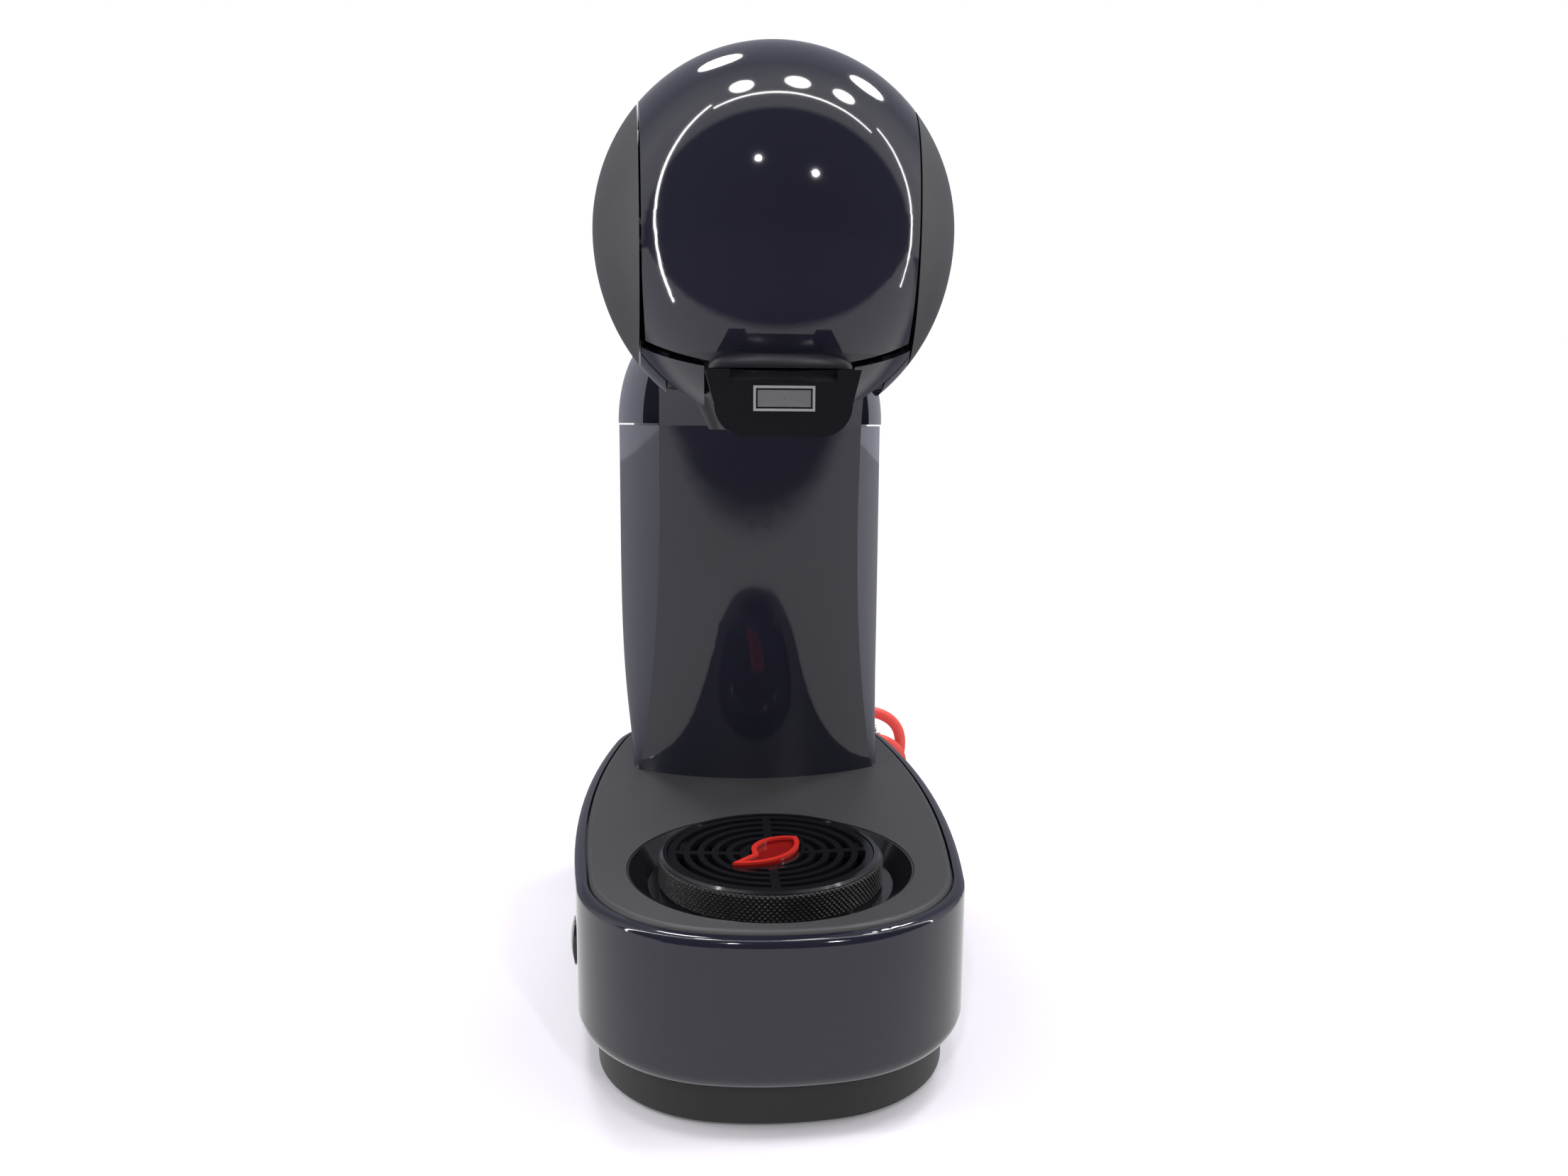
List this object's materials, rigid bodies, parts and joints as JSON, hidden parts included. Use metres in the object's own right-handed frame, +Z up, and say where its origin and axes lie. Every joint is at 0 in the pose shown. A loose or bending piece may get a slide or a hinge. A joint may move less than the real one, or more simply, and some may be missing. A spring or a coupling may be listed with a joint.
{
  "type": "pod coffee machine",
  "caption": "Pod coffee machine with a ball-shaped head on a slim leaning column, a rear water tank, a sliding capsule holder, a locking handle and a lift-out drip tray.",
  "frame": {"origin": "on the table, under the middle of the machine without its cord", "axes": "+Z up, -Y to the front where the cup stands, +X to the right seen from the front"},
  "size_m": [0.1687, 0.422, 0.33],
  "materials": {
    "gloss_anthracite": "polished moulded plastic",
    "matte_anthracite": "fine spark-eroded texture",
    "plinth_black": "plain matt moulding",
    "gloss_black": "polished moulded plastic",
    "holder_black": "satin moulded plastic",
    "float_red": "polished moulded plastic",
    "cord_red": "satin cable sheath",
    "plug_red": "satin moulded plug",
    "brass_pins": "nickelled brass",
    "rubber_black": "soft matt rubber",
    "steel": "plain steel",
    "inner_grey": "engineering plastic",
    "tank_smoke": "smoke-tinted plastic",
    "heater_aluminium": "die cast",
    "board_green": "lacquered board",
    "hose_silicone": "translucent silicone"
  },
  "bodies": {
    "base": {"base_plinth": "plinth_black", "base_skirt": "gloss_anthracite", "base_deck": "matte_anthracite", "rubber_feet": "rubber_black", "base_screws": "steel", "tray_dish": "gloss_black", "power_switch": "inner_grey", "column_front_shell": "gloss_anthracite", "column_housing": "gloss_anthracite", "neck_arm": "gloss_anthracite", "tank_socket": "inner_grey", "socket_seal": "rubber_black", "head_cap_left": "matte_anthracite", "head_cap_right": "matte_anthracite", "handle_pins": "steel", "chin_shell": "gloss_anthracite", "head_rear_shell": "matte_anthracite", "head_frame": "inner_grey", "holder_guide": "plinth_black", "water_pump": "steel", "pump_mounts": "rubber_black", "heater_block": "heater_aluminium", "thermostat": "steel", "control_board": "board_green", "inlet_hose": "hose_silicone", "pressure_hose": "hose_silicone", "brew_hose": "hose_silicone", "selector_valve": "inner_grey", "injector_pipe": "hose_silicone", "cord_gland": "cord_red", "mains_lead": "cord_red", "cord_loops": "cord_red", "lead_tail": "cord_red", "mains_plug": "plug_red", "plug_pins": "brass_pins"},
    "locking_handle": {"locking_handle": "gloss_anthracite", "handle_arm_left": "inner_grey", "handle_arm_right": "inner_grey"},
    "piercing_head": {"piercing_bell": "inner_grey", "piercing_needle": "steel", "capsule_seal": "rubber_black"},
    "capsule_holder": {"capsule_holder": "holder_black", "holder_cheek_left": "gloss_anthracite", "holder_cheek_right": "gloss_anthracite"},
    "drip_tray": {"drip_tray": "gloss_black"},
    "drip_grid": {"drip_grid": "gloss_black"},
    "level_float": {"level_float": "float_red"},
    "water_tank": {"water_tank": "tank_smoke", "tank_valve": "inner_grey"},
    "tank_lid": {"tank_lid": "gloss_anthracite"},
    "power_button": {"power_button": "gloss_anthracite"},
    "selector_lever": {"selector_lever": "gloss_black"}
  },
  "joints": [
    {"name": "handle_hinge", "type": "hinge", "parent": "base", "child": "locking_handle", "pos_m": [0, -0.075, 0.273], "axis": [-1, 0, 0], "range_deg": [0, 62]},
    {"name": "piercing_lift", "type": "slide", "parent": "base", "child": "piercing_head", "axis": [0, 0, 1], "range_m": [0, 0.016]},
    {"name": "holder_slide", "type": "slide", "parent": "base", "child": "capsule_holder", "axis": [0, -1, 0], "range_m": [0, 0.08]},
    {"name": "tray_lift", "type": "slide", "parent": "base", "child": "drip_tray", "axis": [0, 0, 1], "range_m": [0, 0.06]},
    {"name": "grid_lift", "type": "slide", "parent": "drip_tray", "child": "drip_grid", "axis": [0, 0, 1], "range_m": [0, 0.03]},
    {"name": "float_rise", "type": "slide", "parent": "drip_tray", "child": "level_float", "axis": [0, 0, 1], "range_m": [0, 0.003]},
    {"name": "tank_lift", "type": "slide", "parent": "base", "child": "water_tank", "axis": [0, 0, 1], "range_m": [0, 0.08]},
    {"name": "lid_lift", "type": "slide", "parent": "water_tank", "child": "tank_lid", "axis": [0, 0, 1], "range_m": [0, 0.04]},
    {"name": "button_press", "type": "slide", "parent": "base", "child": "power_button", "axis": [0.9927, 0.1207, 0], "range_m": [0, 0.0025], "stiffness_N_per_m": 400},
    {"name": "lever_swing", "type": "hinge", "parent": "base", "child": "selector_lever", "pos_m": [0, 0.027, 0.256], "axis": [0, 1, 0], "range_deg": [-15, 15]}
  ],
  "couplings": [
    {"joint": "piercing_lift", "follows": "handle_hinge", "m_per_rad": 0.01478}
  ]
}
